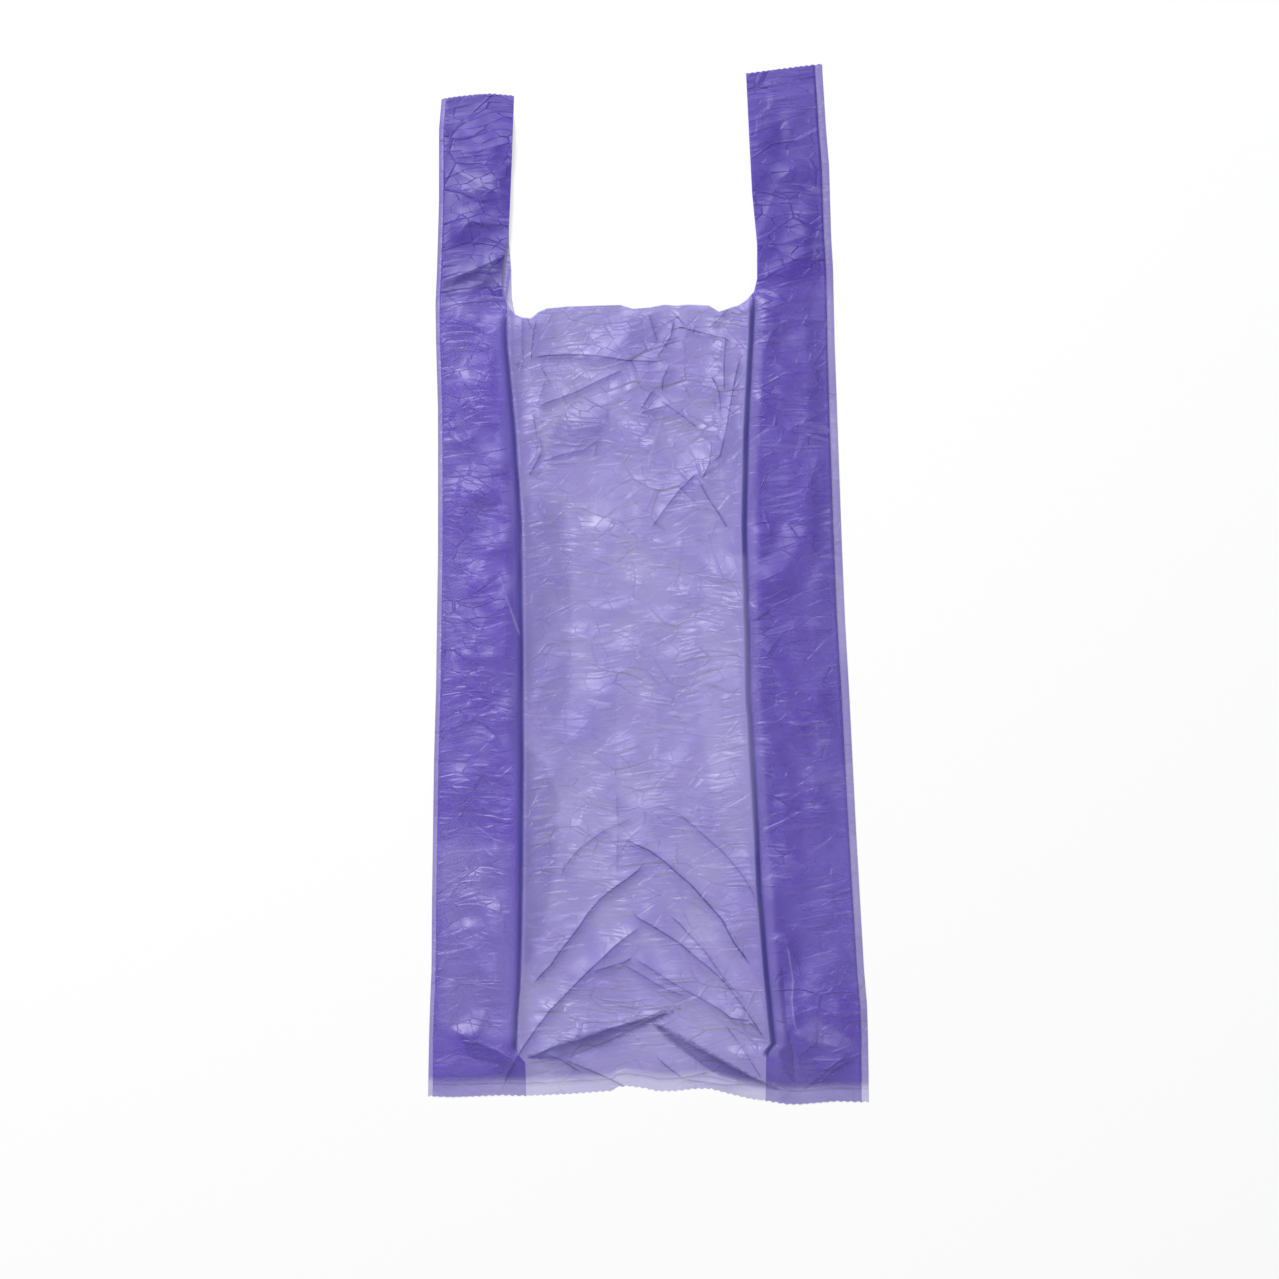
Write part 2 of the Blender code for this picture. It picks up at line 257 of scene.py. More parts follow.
# %% Extrude the tube
def draw_film():
    bm = bmesh.new()
    around = bm.verts.layers.float.new("around")
    length_wise = bm.verts.layers.float.new("along")
    follows = bm.verts.layers.float.new("follows")
    front = bm.faces.layers.int.new("front")
    upper = bm.faces.layers.int.new("upper")
    heights = [0.0, SKIRT, SKIRT + WELD]
    heights += list(row(SKIRT + WELD, LENGTH - HANDLE_SKIRT - WELD)[1:])
    heights += [LENGTH - HANDLE_SKIRT, LENGTH - HANDLE_SKIRT / 2, LENGTH]
    heights[1:1] = [SKIRT / 2]

    def shape(verts, y):
        points = section(y)
        run = 0.0
        for i, (vert, (x, z, part)) in enumerate(zip(verts, points)):
            if i:
                run += math.hypot(x - points[i - 1][0], z - points[i - 1][1])
            vert.co = (x, y, z)
            vert[around], vert[length_wise], vert[follows] = run, y, part

    count = len(section(0.0))
    fronts = GUSSET_STEPS * 2 + ROLL_STEPS * 2 + CENTRE_STEPS
    uppers = fronts + 1 + GUSSET_STEPS
    ring = [bm.verts.new() for _ in range(count)]
    edges = [bm.edges.new((a, b)) for a, b in zip(ring, ring[1:] + ring[:1])]
    shape(ring, heights[0])
    for y in heights[1:]:
        grown = bmesh.ops.extrude_edge_only(bm, edges=edges)["geom"]
        verts = [v for v in grown if isinstance(v, bmesh.types.BMVert)]
        bm.verts.index_update()
        verts.sort(key=lambda v: v.index)
        shape(verts, y)
        edges = [e for e in grown if isinstance(e, bmesh.types.BMEdge)]
    for face in bm.faces:
        place_on_ring = min(v.index % count for v in face.verts)
        wraps = max(v.index % count for v in face.verts) == count - 1 and place_on_ring == 0
        face[front] = int(not wraps and place_on_ring < fronts)
        back_start = count - (GUSSET_STEPS * 2 + 4) - 1
        rear = uppers <= place_on_ring < back_start + GUSSET_STEPS + 2
        face[upper] = int(not rear)
    return bm


film = draw_film()
film_front = film.faces.layers.int["front"]
film_upper = film.faces.layers.int["upper"]
print("film rows and columns:", len(film.faces), "faces")

# %% [markdown]
# The front panel shows every wrinkle, so it is divided once more. The layers under it stay coarse
# and only their free ends are divided, because a toothed knife cuts both ends of a bag. The teeth
# are made by moving every other vertex of each end.

# %% Finer front panel and toothed ends
front_edges = dict.fromkeys(e for f in film.faces if f[film_front] for e in f.edges)
bmesh.ops.subdivide_edges(film, edges=list(front_edges), cuts=1, use_grid_fill=True)
coarse = [e for e in film.edges if e.is_boundary and e.calc_length() > 0.75 * CELL]
bmesh.ops.subdivide_edges(film, edges=coarse, cuts=1)

around = film.verts.layers.float["around"]
for end in (0.0, LENGTH):
    rim = [v for v in film.verts if v.is_boundary and abs(v.co.y - end) < CELL / 2]
    rim.sort(key=lambda v: v[around])
    for i, vert in enumerate(rim):
        vert.co.y += TOOTH * (i % 2 - 0.5)
print("after the finer front:", len(film.faces), "faces")

# %% [markdown]
# ## How the used bag lies
# Used film no longer lies as it was folded. Its sides draw in towards the mouth, one handle stands
# further up than the other, and the bottom runs in a shallow wave. Lines measured on the real bag,
# one number for each height, carry every point of the folded tube to where it lies now.

# %% Measured outlines
LEFT_FOLD = [(94, 442), (130, 439), (200, 439), (235, 438), (270, 437), (305, 435.5), (340, 436),
             (410, 438), (550, 438), (620, 437), (690, 436), (760, 434), (830, 433), (900, 432),
             (970, 431.5), (1005, 430), (1040, 429), (1097, 428)]
RIGHT_FOLD = [(64, 822), (98, 824), (130, 826), (165, 829), (235, 831), (270, 833), (340, 834.5),
              (410, 837), (480, 839.5), (550, 842), (620, 845), (690, 849), (760, 852.5),
              (830, 856), (900, 860), (970, 864), (1005, 867), (1040, 868), (1103, 869)]
LEFT_GUSSET = [(60, 519), (200, 517), (235, 515), (270, 511), (300, 507), (348, 508), (430, 516),
               (523, 522), (640, 523.5), (759, 524), (891, 523), (953, 521.8), (988, 520.4),
               (1016, 518), (1048, 517), (1056, 520), (1062, 525.4), (1100, 526.3)]
RIGHT_GUSSET = [(60, 738), (200, 744), (280, 752), (313, 752), (428, 746), (523, 744), (700, 748),
                (796, 754), (890, 759), (925, 762), (974, 766), (1016, 770), (1043, 773),
                (1051, 766), (1104, 765.5)]
BOTTOM = [(428, 1096), (453, 1097), (502, 1095), (526, 1095.6), (565, 1094), (613, 1090.6),
          (616, 1087), (627, 1085.7), (645, 1088), (657, 1091), (674, 1091), (696, 1088.5),
          (710, 1088.5), (731, 1094), (752, 1099), (766, 1100.5), (787, 1104), (801, 1104),
          (836, 1101), (869, 1102)]
TOP = [(442, 99), (460, 96.5), (479, 94.5), (492, 94), (514, 96), (745, 74), (790, 68), (822, 64)]
BOTTOM_LINE = [(428, 1095.5), (869, 1101)]
WAVE_FADE = 0.045


def across_at(line, y):
    """The floor x of a measured line at these floor heights."""
    heights = np.array([place(px, py)[1] for py, px in line])
    spots = np.array([place(px, py)[0] for py, px in line])
    order = np.argsort(heights)
    return np.interp(y, heights[order], spots[order])


def height_at(line, x):
    points = traced(line)
    return np.interp(x, points[:, 0], points[:, 1])


print("width across the bottom, mm:",
      round(1000 * float(across_at(RIGHT_FOLD, -0.23) - across_at(LEFT_FOLD, -0.23)), 1))

# %% [markdown]
# The lines are used as a lattice: across the bag a point keeps its share between two folds, and
# along the bag its share between the bottom and the top line. The height decides where the folds
# lie and the folds decide the height, so the place is found in three rounds.

# %% Lay the tube down
def lie(x, y):
    """Floor positions of points of the folded tube."""
    guess = place(0, 1098)[1] + y * (place(0, 82)[1] - place(0, 1098)[1]) / LENGTH
    for _ in range(3):
        left, right = across_at(LEFT_FOLD, guess), across_at(RIGHT_FOLD, guess)
        left_in, right_in = across_at(LEFT_GUSSET, guess), across_at(RIGHT_GUSSET, guess)
        depth = gusset_depth(y)
        fold = HALF - depth
        lying = np.where(
            x < -fold, left + (x + HALF) * (left_in - left) / depth,
            np.where(x > fold, right - (HALF - x) * (right - right_in) / depth,
                     left_in + (x + fold) * (right_in - left_in) / (2 * fold)),
        )
        low, high = height_at(BOTTOM_LINE, lying), height_at(TOP, lying)
        wave = (height_at(BOTTOM, lying) - low) * (1 - ease(y / WAVE_FADE))
        guess = low + wave + (high - low) * y / LENGTH
    return lying, guess


spots = np.array([v.co[:] for v in film.verts])
laid = lie(spots[:, 0], spots[:, 1])
for vert, x, y in zip(film.verts, *laid):
    vert.co.x = x
    vert.co.y = y
print("lies from", np.round([laid[0].min(), laid[1].min()], 4),
      "to", np.round([laid[0].max(), laid[1].max()], 4))

# %% [markdown]
# ## Cutting the mouth and the handles
# A die took one piece out of all the layers at once, but they have slipped since, so the rear
# layers show as a pale crescent inside the left handle. Each outline is cut into its own layers:
# a plane goes through the near faces along every stretch of the line, and then the faces inside
# the outline are deleted.

# %% Mouth outlines
MOUTH_LIP = [(515, 315), (523, 318.5), (531, 319), (535, 316), (538, 313), (547, 309), (566, 307),
             (596, 306), (620, 305), (633, 309), (649, 308), (665, 305), (676, 306), (688, 305),
             (709, 306), (714, 309), (719, 312), (728, 309), (738, 306), (746, 301), (754, 292),
             (757, 279), (757, 244), (752, 193), (749, 136), (746, 73), (744, 40)]
FRONT_OUTLINE = [(516, 50), (514, 96), (512, 158), (509, 231), (507.5, 243), (503, 268),
                 (501.6, 284), (503, 296), (508, 307), *MOUTH_LIP]
REAR_OUTLINE = [(516, 50), (514, 96), (512, 158), (509, 231), (509, 242), (511, 269),
                (512, 299), *MOUTH_LIP]
CUT_REACH = 0.0035


class NearFaces:
    """Files faces by place, so that a cut only looks at those near it."""

    BIN = 0.008

    def __init__(self, faces):
        self.bins = defaultdict(dict)
        for face in faces:
            self.add(face)

    def add(self, face):
        spot = face.calc_center_median()
        self.bins[int(spot.x // self.BIN), int(spot.y // self.BIN)][face] = True

    def along(self, start, end, reach):
        low = np.minimum(start, end) - reach
        high = np.maximum(start, end) + reach
        run = end - start
        found = {}
        for i in range(int(low[0] // self.BIN), int(high[0] // self.BIN) + 1):
            for j in range(int(low[1] // self.BIN), int(high[1] // self.BIN) + 1):
                for face in self.bins[i, j]:
                    spot = np.array(face.calc_center_median()[:2])
                    part = np.clip(np.dot(spot - start, run) / np.dot(run, run), 0, 1)
                    if np.hypot(*(spot - start - run * part)) < reach:
                        found[face] = True
        return list(found)


def cut_along(bm, filed, line, reach, offset=0.0, snap=0.00008):
    """Cuts an edge into the near faces along a line, offset metres to its left."""
    for start, end in zip(line, line[1:]):
        near = filed.along(start, end, reach)
        run = (end - start) / np.linalg.norm(end - start)
        spot = (start + end) / 2 + offset * np.array([-run[1], run[0]])
        edges = dict.fromkeys(e for f in near for e in f.edges)
        verts = dict.fromkeys(v for f in near for v in f.verts)
        made = bmesh.ops.bisect_plane(bm, geom=[*near, *edges, *verts], dist=snap,
                                      plane_co=(*spot, 0), plane_no=(run[1], -run[0], 0))
        for item in made["geom"]:
            if isinstance(item, bmesh.types.BMFace):
                filed.add(item)


def inside(spots, outline):
    """Which of these places lie inside a closed outline."""
    odd = np.zeros(len(spots), bool)
    for (x0, y0), (x1, y1) in zip(outline, np.roll(outline, -1, axis=0)):
        crosses = (y0 > spots[:, 1]) != (y1 > spots[:, 1])
        with np.errstate(divide="ignore", invalid="ignore"):
            at = x0 + (spots[:, 1] - y0) * (x1 - x0) / (y1 - y0)
        odd ^= crosses & (spots[:, 0] < at)
    return odd


for is_upper, pixels in ((1, FRONT_OUTLINE), (0, REAR_OUTLINE)):
    outline = traced(pixels)
    cut_along(film, NearFaces(f for f in film.faces if f[film_upper] == is_upper),
              outline, CUT_REACH)
    faces = [f for f in film.faces if f[film_upper] == is_upper]
    gone = inside(np.array([f.calc_center_median()[:2] for f in faces]), outline)
    bmesh.ops.delete(film, geom=[f for f, out in zip(faces, gone) if out], context="FACES")
print("after the mouth is cut:", len(film.faces), "faces")

# %% [markdown]
# ## The creases of the front panel
# Film keeps a sharp line wherever it was once folded. The strong ones are traced from the real
# bag: a ridge or a dip, how far its slopes reach, how dark the line is, and the line itself. They
# are cut into the mesh as edges, so that each one is crisp instead of a smear across the grid.

# %% Traced creases: ridge mm, foot mm, darkness, line
CREASES = {
    "shoulder": [
        (0.9, 9, 0.9, [(532, 358), (547, 356), (565, 354.8), (591, 355.7), (610, 358.4),
                       (625, 361), (661, 362.3)]),
        (0.8, 8, 0.7, [(536, 408), (553, 401), (577, 392), (601, 380), (625, 370)]),
        (0.5, 5, 0.6, [(533, 415), (536, 429), (538, 442), (536, 457)]),
        (0.5, 5, 0.7, [(538.5, 436), (543, 450), (537, 462), (529, 477)]),
        (0.6, 7, 0.6, [(542, 462), (563, 455), (584, 450), (602, 438)]),
        (0.3, 4, 0.4, [(597, 445), (594.6, 457)]),
        (0.4, 5, 0.5, [(545, 382), (540, 397), (537, 408)]),
        (0.3, 4, 0.4, [(540, 365), (551, 385)]),
    ],
    "mouth_pleats": [
        (0.5, 4, 0.7, [(537, 319), (534, 333), (532, 351), (531.5, 361)]),
        (0.3, 3, 0.6, [(527, 319), (533, 331)]),
        (0.4, 4, 0.4, [(523, 317), (522.6, 338), (523, 360)]),
        (0.3, 3, 0.5, [(515.6, 365), (523, 363)]),
        (0.8, 7, 0.9, [(674, 326.6), (703, 333.6), (724, 339), (730, 343)]),
        (0.8, 7, 0.8, [(674, 320), (671, 336), (664, 348), (656, 359.5)]),
        (0.6, 6, 0.7, [(648, 312.5), (653, 329), (658, 343)]),
        (0.4, 4, 0.8, [(670, 311), (677, 317), (685, 327)]),
        (0.4, 4, 0.7, [(728, 310), (719, 319), (710, 327)]),
        (0.6, 5, 0.8, [(725, 340), (724, 365), (724, 392)]),
    ],
    "right_darts": [
        (0.5, 5, 0.7, [(710, 374), (719, 392), (721, 414)]),
        (0.7, 5, 0.8, [(740, 357), (735, 379), (730, 407), (726, 430), (720, 456), (710, 464)]),
        (0.5, 5, 0.7, [(712, 442), (709.5, 463), (702, 480)]),
        (0.8, 8, 0.8, [(697.5, 472.5), (679, 491), (661, 514), (652, 528)]),
        (0.7, 7, 0.7, [(698, 480), (707, 497), (719, 514), (728, 530)]),
        (0.6, 6, 0.7, [(660, 401), (679, 414), (697.5, 428)]),
        (0.4, 4, 0.7, [(665, 406.5), (648, 411), (640, 414)]),
        (0.5, 5, 0.7, [(670, 365), (663, 379), (662, 393)]),
        (0.4, 4, 0.8, [(653, 390), (640, 411.5)]),
        (0.6, 5, -0.4, [(661, 420), (654, 444), (646, 472)]),
        (0.5, 6, -0.2, [(668, 437), (686, 461), (696, 472)]),
    ],
    "left_gusset": [
        (0.4, 4, 0.3, [(443, 447), (463, 442), (476, 438)]),
        (0.4, 5, 0.4, [(443, 413.5), (456, 411), (471, 398)]),
        (0.4, 6, 0.3, [(444, 429), (472, 427), (500, 422)]),
        (0.3, 3, -0.4, [(499.5, 575), (503.6, 586)]),
        (0.4, 3, -0.4, [(505.6, 594), (520, 635)]),
        (0.3, 4, 0.3, [(458, 942), (453, 950), (447.5, 956)]),
        (0.4, 4, 0.4, [(484, 1011), (481, 1023), (475.5, 1034.5)]),
        (0.9, 6, 0.8, [(457, 1030), (471, 1039), (498, 1050), (515, 1061)]),
    ],
    "left_handle": [
        (0.5, 5, 0.5, [(449.5, 168.5), (475.5, 183), (486, 189), (509, 198)]),
        (0.3, 4, 0.4, [(457, 186), (477, 201)]),
        (0.4, 5, 0.4, [(456, 162), (463, 154), (479, 152), (511, 143)]),
        (0.9, 7, 0.3, [(445, 281), (471, 272), (502, 258)]),
        (0.7, 6, 0.2, [(446, 237), (471, 223), (508, 226)]),
    ],
    "right_handle": [
        (0.4, 4, 0.5, [(779, 182), (795, 167)]),
        (0.4, 4, 0.4, [(778, 185), (764, 219)]),
        (0.4, 4, 0.4, [(785, 123), (793, 133)]),
        (0.6, 6, 0.5, [(782, 267), (810, 252), (830, 248)]),
        (0.4, 5, 0.3, [(762, 251), (799, 239), (823, 237)]),
        (0.5, 5, 0.4, [(766, 278), (784, 265)]),
    ],
    "right_gusset": [
        (0.5, 6, 0.4, [(779, 320), (827, 322)]),
        (0.5, 6, 0.4, [(776, 323), (764, 351)]),
        (0.4, 5, 0.3, [(831, 409), (784.5, 432.5)]),
        (0.4, 5, 0.3, [(784.5, 432.5), (829, 435)]),
        (0.4, 5, 0.3, [(818, 459), (810, 482), (804, 501)]),
        (0.3, 4, 0.3, [(801, 388), (828, 390)]),
    ],
    "chevrons": [
        (0.7, 8, 0.6, [(560, 878), (565, 866), (578, 850), (591, 840), (606, 829), (619.5, 824),
                       (634, 817)]),
        (0.9, 9, 0.6, [(658, 806), (673, 810), (682.5, 816.5), (696, 828), (709, 840), (721, 850),
                       (731, 861), (742, 874.5), (752, 891), (757, 904)]),
        (1.5, 9, 1.0, [(621, 837), (633, 843), (649, 850), (663, 860), (677.5, 873), (691, 884.5),
                       (704, 899), (712, 908), (722, 919), (727, 929), (734, 942.5), (742, 953),
                       (752, 967)]),
        (1.4, 9, 0.9, [(646, 861), (638, 870), (628, 878), (613, 888), (600, 899), (588, 913),
                       (578, 928), (568, 941), (558, 954), (551.5, 964), (541.6, 974),
                       (531.6, 985.6)]),
        (1.3, 8, 0.9, [(629, 909), (639, 918), (653, 926), (666, 934), (681, 944), (696, 957),
                       (709, 967), (719, 976), (729, 987), (741, 1003), (756.5, 1026),
                       (766, 1041.5)]),
        (0.8, 6, 0.7, [(668, 914), (679, 923), (687.5, 932.6), (697, 942.5), (707, 954),
                       (717, 969), (726, 981), (735.6, 991), (745.5, 999)]),
        (1.2, 8, 0.9, [(644, 924), (634, 931), (623, 939), (611, 949), (601, 959), (590, 969),
                       (578, 981), (566, 994), (551, 1009), (540, 1023), (523, 1047), (515, 1061),
                       (509, 1071), (503.6, 1086), (501.5, 1095)]),
        (1.0, 7, 0.7, [(633, 957), (649, 967), (664, 977), (679, 986), (699, 997), (718.6, 1008),
                       (730, 1017), (746.6, 1019), (763.5, 1034.5)]),
        (0.5, 4, 0.6, [(623, 964), (639, 973), (653, 981.5), (669, 990), (686, 995.6)]),
        (0.6, 5, 0.7, [(633, 957), (623, 962), (606, 967), (593, 971)]),
        (0.4, 5, 0.3, [(617, 791), (617.5, 830), (617, 875)]),
    ],
    "bottom_tucks": [
        (1.4, 8, 0.7, [(523, 1060), (551, 1047), (579, 1039), (607, 1029), (645, 1018),
                       (674, 1005)]),
        (-0.5, 5, 0.7, [(565, 1058), (593, 1047), (621, 1034.5), (645, 1023), (674, 1006)]),
        (0.6, 4, 0.8, [(546, 1053), (560, 1058), (581, 1072)]),
        (0.6, 5, 0.8, [(560, 1057), (586, 1068), (614, 1081), (627, 1088)]),
        (1.2, 8, 0.8, [(654, 1022), (675, 1036), (703, 1051), (731, 1067), (759, 1081),
                       (780, 1092)]),
        (0.5, 5, 0.6, [(658, 1025), (682, 1044), (713, 1072)]),
        (0.5, 4, 0.7, [(657, 1057), (668, 1067), (682, 1078), (710, 1072)]),
        (0.4, 4, 0.6, [(682, 1079), (724, 1085), (759, 1084)]),
        (0.8, 6, 0.5, [(724, 1023), (738, 1041.5), (749, 1058), (762, 1079)]),
    ],
    "right_corner": [
        (-0.6, 6, 0.6, [(782, 969), (784.5, 1002), (787, 1030), (793, 1058), (794, 1082)]),
        (0.9, 5, -0.5, [(787, 945), (790, 963), (793, 981), (791.5, 999), (793, 1016),
                        (796, 1032)]),
        (0.6, 4, 0.5, [(768, 942), (776, 938), (786, 943), (791.5, 950), (798.6, 966),
                       (800, 980)]),
        (0.8, 7, 0.2, [(794, 1030), (815, 1039), (850.5, 1051)]),
        (0.8, 6, 0.6, [(850.5, 1052), (829, 1067), (813, 1082), (801, 1092), (784.5, 1089)]),
        (0.5, 5, 0.5, [(860, 1054), (836, 1067), (820, 1084)]),
    ],
}
creases = [(ridge / 1000, foot / 1000, darkening, traced(line))
           for family in CREASES.values() for ridge, foot, darkening, line in family]
print("traced creases:", len(creases))

# %% [markdown]
# Each crease is cut as three edges, one on the line and one on either side, so that its dark line
# stays narrow. The two gusset folds show through the front panel below the mouth, and seven edges
# follow each of them, because the film turns there within a few millimetres.

# %% Cut the creases into the front panel
LINE_SIDE = 0.0005
LINE_REACH = 0.0022
SIDE_REACH = 0.0018
FOLD_SIDES = (-0.0030, -0.0018, -0.0008, 0.0, 0.0008, 0.0018, 0.0030)
FOLD_REACH = 0.0042
ABOVE_MOUTH = 290

filed = NearFaces(f for f in film.faces if f[film_front])
for fold in (LEFT_GUSSET, RIGHT_GUSSET):
    below = traced([(px, py) for py, px in fold if py > ABOVE_MOUTH])
    for side in FOLD_SIDES:
        cut_along(film, filed, below, FOLD_REACH, offset=side)
for _, _, _, line in creases:
    cut_along(film, filed, line, LINE_REACH)
    for side in (-LINE_SIDE, LINE_SIDE):
        cut_along(film, filed, line, SIDE_REACH, offset=side)
print("after the creases are cut:", len(film.faces), "faces")

# %% [markdown]
# ## From folded to crumpled
# The relief is worked out for all points at once: a soft pillow of trapped air, broad hills and
# flat facets, the traced creases as tents with a sharp top, and many small seeded folds between
# them. On the front it never goes below the folded height. These helpers work on whole arrays,
# which is many times faster than a loop over the vertices.

# %% Relief helpers: AWAY points from the lamp, along the floor
AWAY = (0.45, -0.89)
FAR = 9.0


def hills(x, y, pitch, seed):
    """Soft random hills from -1 to 1, one every pitch metres."""
    chance = np.random.default_rng(seed)
    grid = chance.uniform(-1, 1, (64, 64))
    gx, gy = x / pitch + 31.3, y / pitch + 31.7
    ix, iy = np.floor(gx).astype(int), np.floor(gy).astype(int)
    fx, fy = ease(gx - ix), ease(gy - iy)
    low = grid[ix % 64, iy % 64] * (1 - fx) + grid[(ix + 1) % 64, iy % 64] * fx
    high = grid[ix % 64, (iy + 1) % 64] * (1 - fx) + grid[(ix + 1) % 64, (iy + 1) % 64] * fx
    return low * (1 - fy) + high * fy


def to_line(x, y, line):
    """Distance to a line, share of the way along it, and from -1 (lit) to 1 (shaded) the side."""
    best = np.full(len(x), FAR)
    share, shaded = np.zeros(len(x)), np.zeros(len(x))
    lengths = np.linalg.norm(np.diff(line, axis=0), axis=1)
    before = np.concatenate([[0], np.cumsum(lengths)])
    for start, end, size, done in zip(line, line[1:], lengths, before):
        run = (end - start) / size
        along = np.clip((x - start[0]) * run[0] + (y - start[1]) * run[1], 0, size)
        dx, dy = x - start[0] - along * run[0], y - start[1] - along * run[1]
        gap = np.hypot(dx, dy)
        nearer = gap < best
        best = np.where(nearer, gap, best)
        share = np.where(nearer, (done + along) / before[-1], share)
        turned = (AWAY[0] * dx + AWAY[1] * dy) / np.maximum(gap, 1e-6)
        shaded = np.where(nearer, turned, shaded)
    return best, share, shaded


def tapered(share, ends=0.12):
    return ease(share / ends) * ease((1 - share) / ends)


print("hills at the middle:", round(float(hills(np.zeros(1), np.zeros(1), 0.04, 3)[0]), 3))

# %% [markdown]
# Most folds are too small to trace one by one, but each part of the bag has its own kind: upright
# ones under the mouth, level ones in the middle, and a mix at the bottom and in the side strips.
# So each part gets a number of folds with a usual lean and a spread, and a seed keeps them the
# same in every run.

# %% Seeded small folds
def small_folds():
    """(x, y, angle, half length, foot, height) of folds too small to trace."""
    chance = random.Random(11)
    folds = []
    # left, right, top and bottom in pixels, how many, usual lean and its spread in degrees
    for px0, px1, py0, py1, count, lean, spread in (
        (530, 745, 310, 350, 50, 85, 22),
        (530, 745, 340, 480, 80, 60, 60),
        (530, 745, 480, 800, 130, -6, 18),
        (530, 760, 800, 1075, 110, 10, 50),
        (443, 512, 300, 1060, 190, -8, 22),
        (762, 838, 300, 1070, 190, 12, 28),
        (443, 508, 100, 300, 60, 15, 30),
        (752, 825, 80, 300, 60, -25, 25),
    ):
        for _ in range(count):
            spot = place(chance.uniform(px0, px1), chance.uniform(py0, py1))
            angle = math.radians(lean + chance.gauss(0, spread))
            reach = chance.uniform(0.004, 0.016)
            foot = chance.uniform(0.0020, 0.0050)
            folds.append((*spot, angle, reach, foot, foot * chance.uniform(0.03, 0.10)))
    return folds


folds = small_folds()
print("seeded folds:", len(folds))


# %% [markdown]
# Crumpled film is stiff: between its folds it stays nearly flat. Soft hills alone would look like
# cloth, so sets of straight folds that cross each other divide the film into flat facets.

# %% Flat facets between long straight folds
def facets(x, y, seed, pitches, leans):
    """A sum of triangle waves, each a set of straight folds, bent a little by slow hills."""
    chance = np.random.default_rng(seed)
    total = np.zeros(len(x))
    bend = 0.012 * hills(x, y, 0.05, seed + 1)
    for pitch, lean in zip(pitches, leans):
        angle = math.radians(lean)
        run = (x * math.sin(angle) + y * math.cos(angle) + bend) / pitch + chance.uniform()
        wave = np.abs((run % 1.0) * 2 - 1) * 2 - 1
        strength = 0.5 + 0.5 * hills(x, y, 0.045, seed + round(lean) % 180)
        total += pitch * wave * np.clip(strength, 0.1, 1)
    return total


print("facets at the middle:", facets(np.zeros(1), np.zeros(1), 2, (0.03,), (10,)))

# %% [markdown]
# From here on the film is a mesh, and its notes are read back as arrays. Every point also learns
# how far it is from the side folds and the welds, where the film is held down.

# %% The film as a mesh, and its notes
EDGE_RISE = 0.010
WELD_RISE = 0.012

mesh = bpy.data.meshes.new("carrier_bag_film")
bmesh.ops.recalc_face_normals(film, faces=film.faces)
film.to_mesh(mesh)
film.free()

co = np.empty(len(mesh.vertices) * 3)
mesh.vertices.foreach_get("co", co)
co = co.reshape(-1, 3)
notes = {}
for name in ("around", "along", "follows"):
    notes[name] = np.empty(len(mesh.vertices))
    mesh.attributes[name].data.foreach_get("value", notes[name])
x, y, along = co[:, 0], co[:, 1], notes["along"]

left, right = across_at(LEFT_FOLD, y), across_at(RIGHT_FOLD, y)
left_in, right_in = across_at(LEFT_GUSSET, y), across_at(RIGHT_GUSSET, y)
to_edge = np.minimum(x - left - LEFT_STEP, right - RIGHT_STEP - x)
to_weld = np.minimum(along - SKIRT, LENGTH - HANDLE_SKIRT - along) - WELD
free = ease(to_edge / EDGE_RISE) * ease(to_weld / WELD_RISE)
print("points:", len(x), "of them held down:", int((free < 0.01).sum()))

# %% [markdown]
# The broad relief is what all the layers share: the air trapped in the bag, thickest near the
# mouth, the crumpled facets, and the swelling over each gusset fold, where the film changes from
# two layers to four. The film is taut right beside those folds, so the facets fade out there.

# %% Broad relief
PILLOW = 0.0010
MOUTH_PILLOW = 0.0012
MOUTH_AIR = 0.07
SWELLING = 0.0006
BODY_SWELLING = 0.0016
SWELLING_TOP = 0.0015
SWELLING_INWARDS = 0.019
SWELLING_OUTWARDS = 0.036

across = (x - (left + right) / 2) / (right - left) * 2
near_mouth = ease(1 - np.abs(along - MOUTH) / MOUTH_AIR)
body = ease((MOUTH - along) / 0.004 + 1)
broad = (1 - across**2) * (PILLOW + MOUTH_PILLOW * near_mouth)
lively = 1 - body * np.exp(-(((x - left_in + 0.002) / 0.0055) ** 2))
lively *= 1 - body * np.exp(-(((x - right_in) / 0.0045) ** 2))
crumpled = 0.0005 * hills(x, y, 0.034, 5) + 0.0003 * hills(x, y, 0.016, 6)
crumpled += 0.016 * facets(x, y, 21, (0.046, 0.058, 0.037, 0.052), (12, -34, 78, -66))
crumpled += 0.040 * facets(x, y, 40, (0.021, 0.026, 0.018), (24, -52, 68))
broad += crumpled * lively
for over in (x - left_in, right_in - x):
    rounded = np.hypot(over, SWELLING_TOP) - SWELLING_TOP
    slope = np.where(over > 0, SWELLING_INWARDS, SWELLING_OUTWARDS)
    broad += (SWELLING + BODY_SWELLING * body) * np.maximum(0, 1 - rounded / slope)
broad = np.maximum(broad, 0)
print("broad relief up to, mm:", round(1000 * float(broad.max()), 2))

# %% [markdown]
# The fine relief is the front panel's own: creases, small folds, and a groove beside each gusset
# fold, where the front sinks to the layers under it. A tent with a slightly hollow slope gives a
# crease its sharp top.

# %% Fine relief of the front
CREASE_SLOPE = 1.4
# beside which line, width before it, width after it, depth
GROOVES = (
    (left_in + 0.0001, 0.0032, 0.0015, 0.0007),
    (right_in + 0.0009, 0.0032, 0.0045, 0.0009),
)

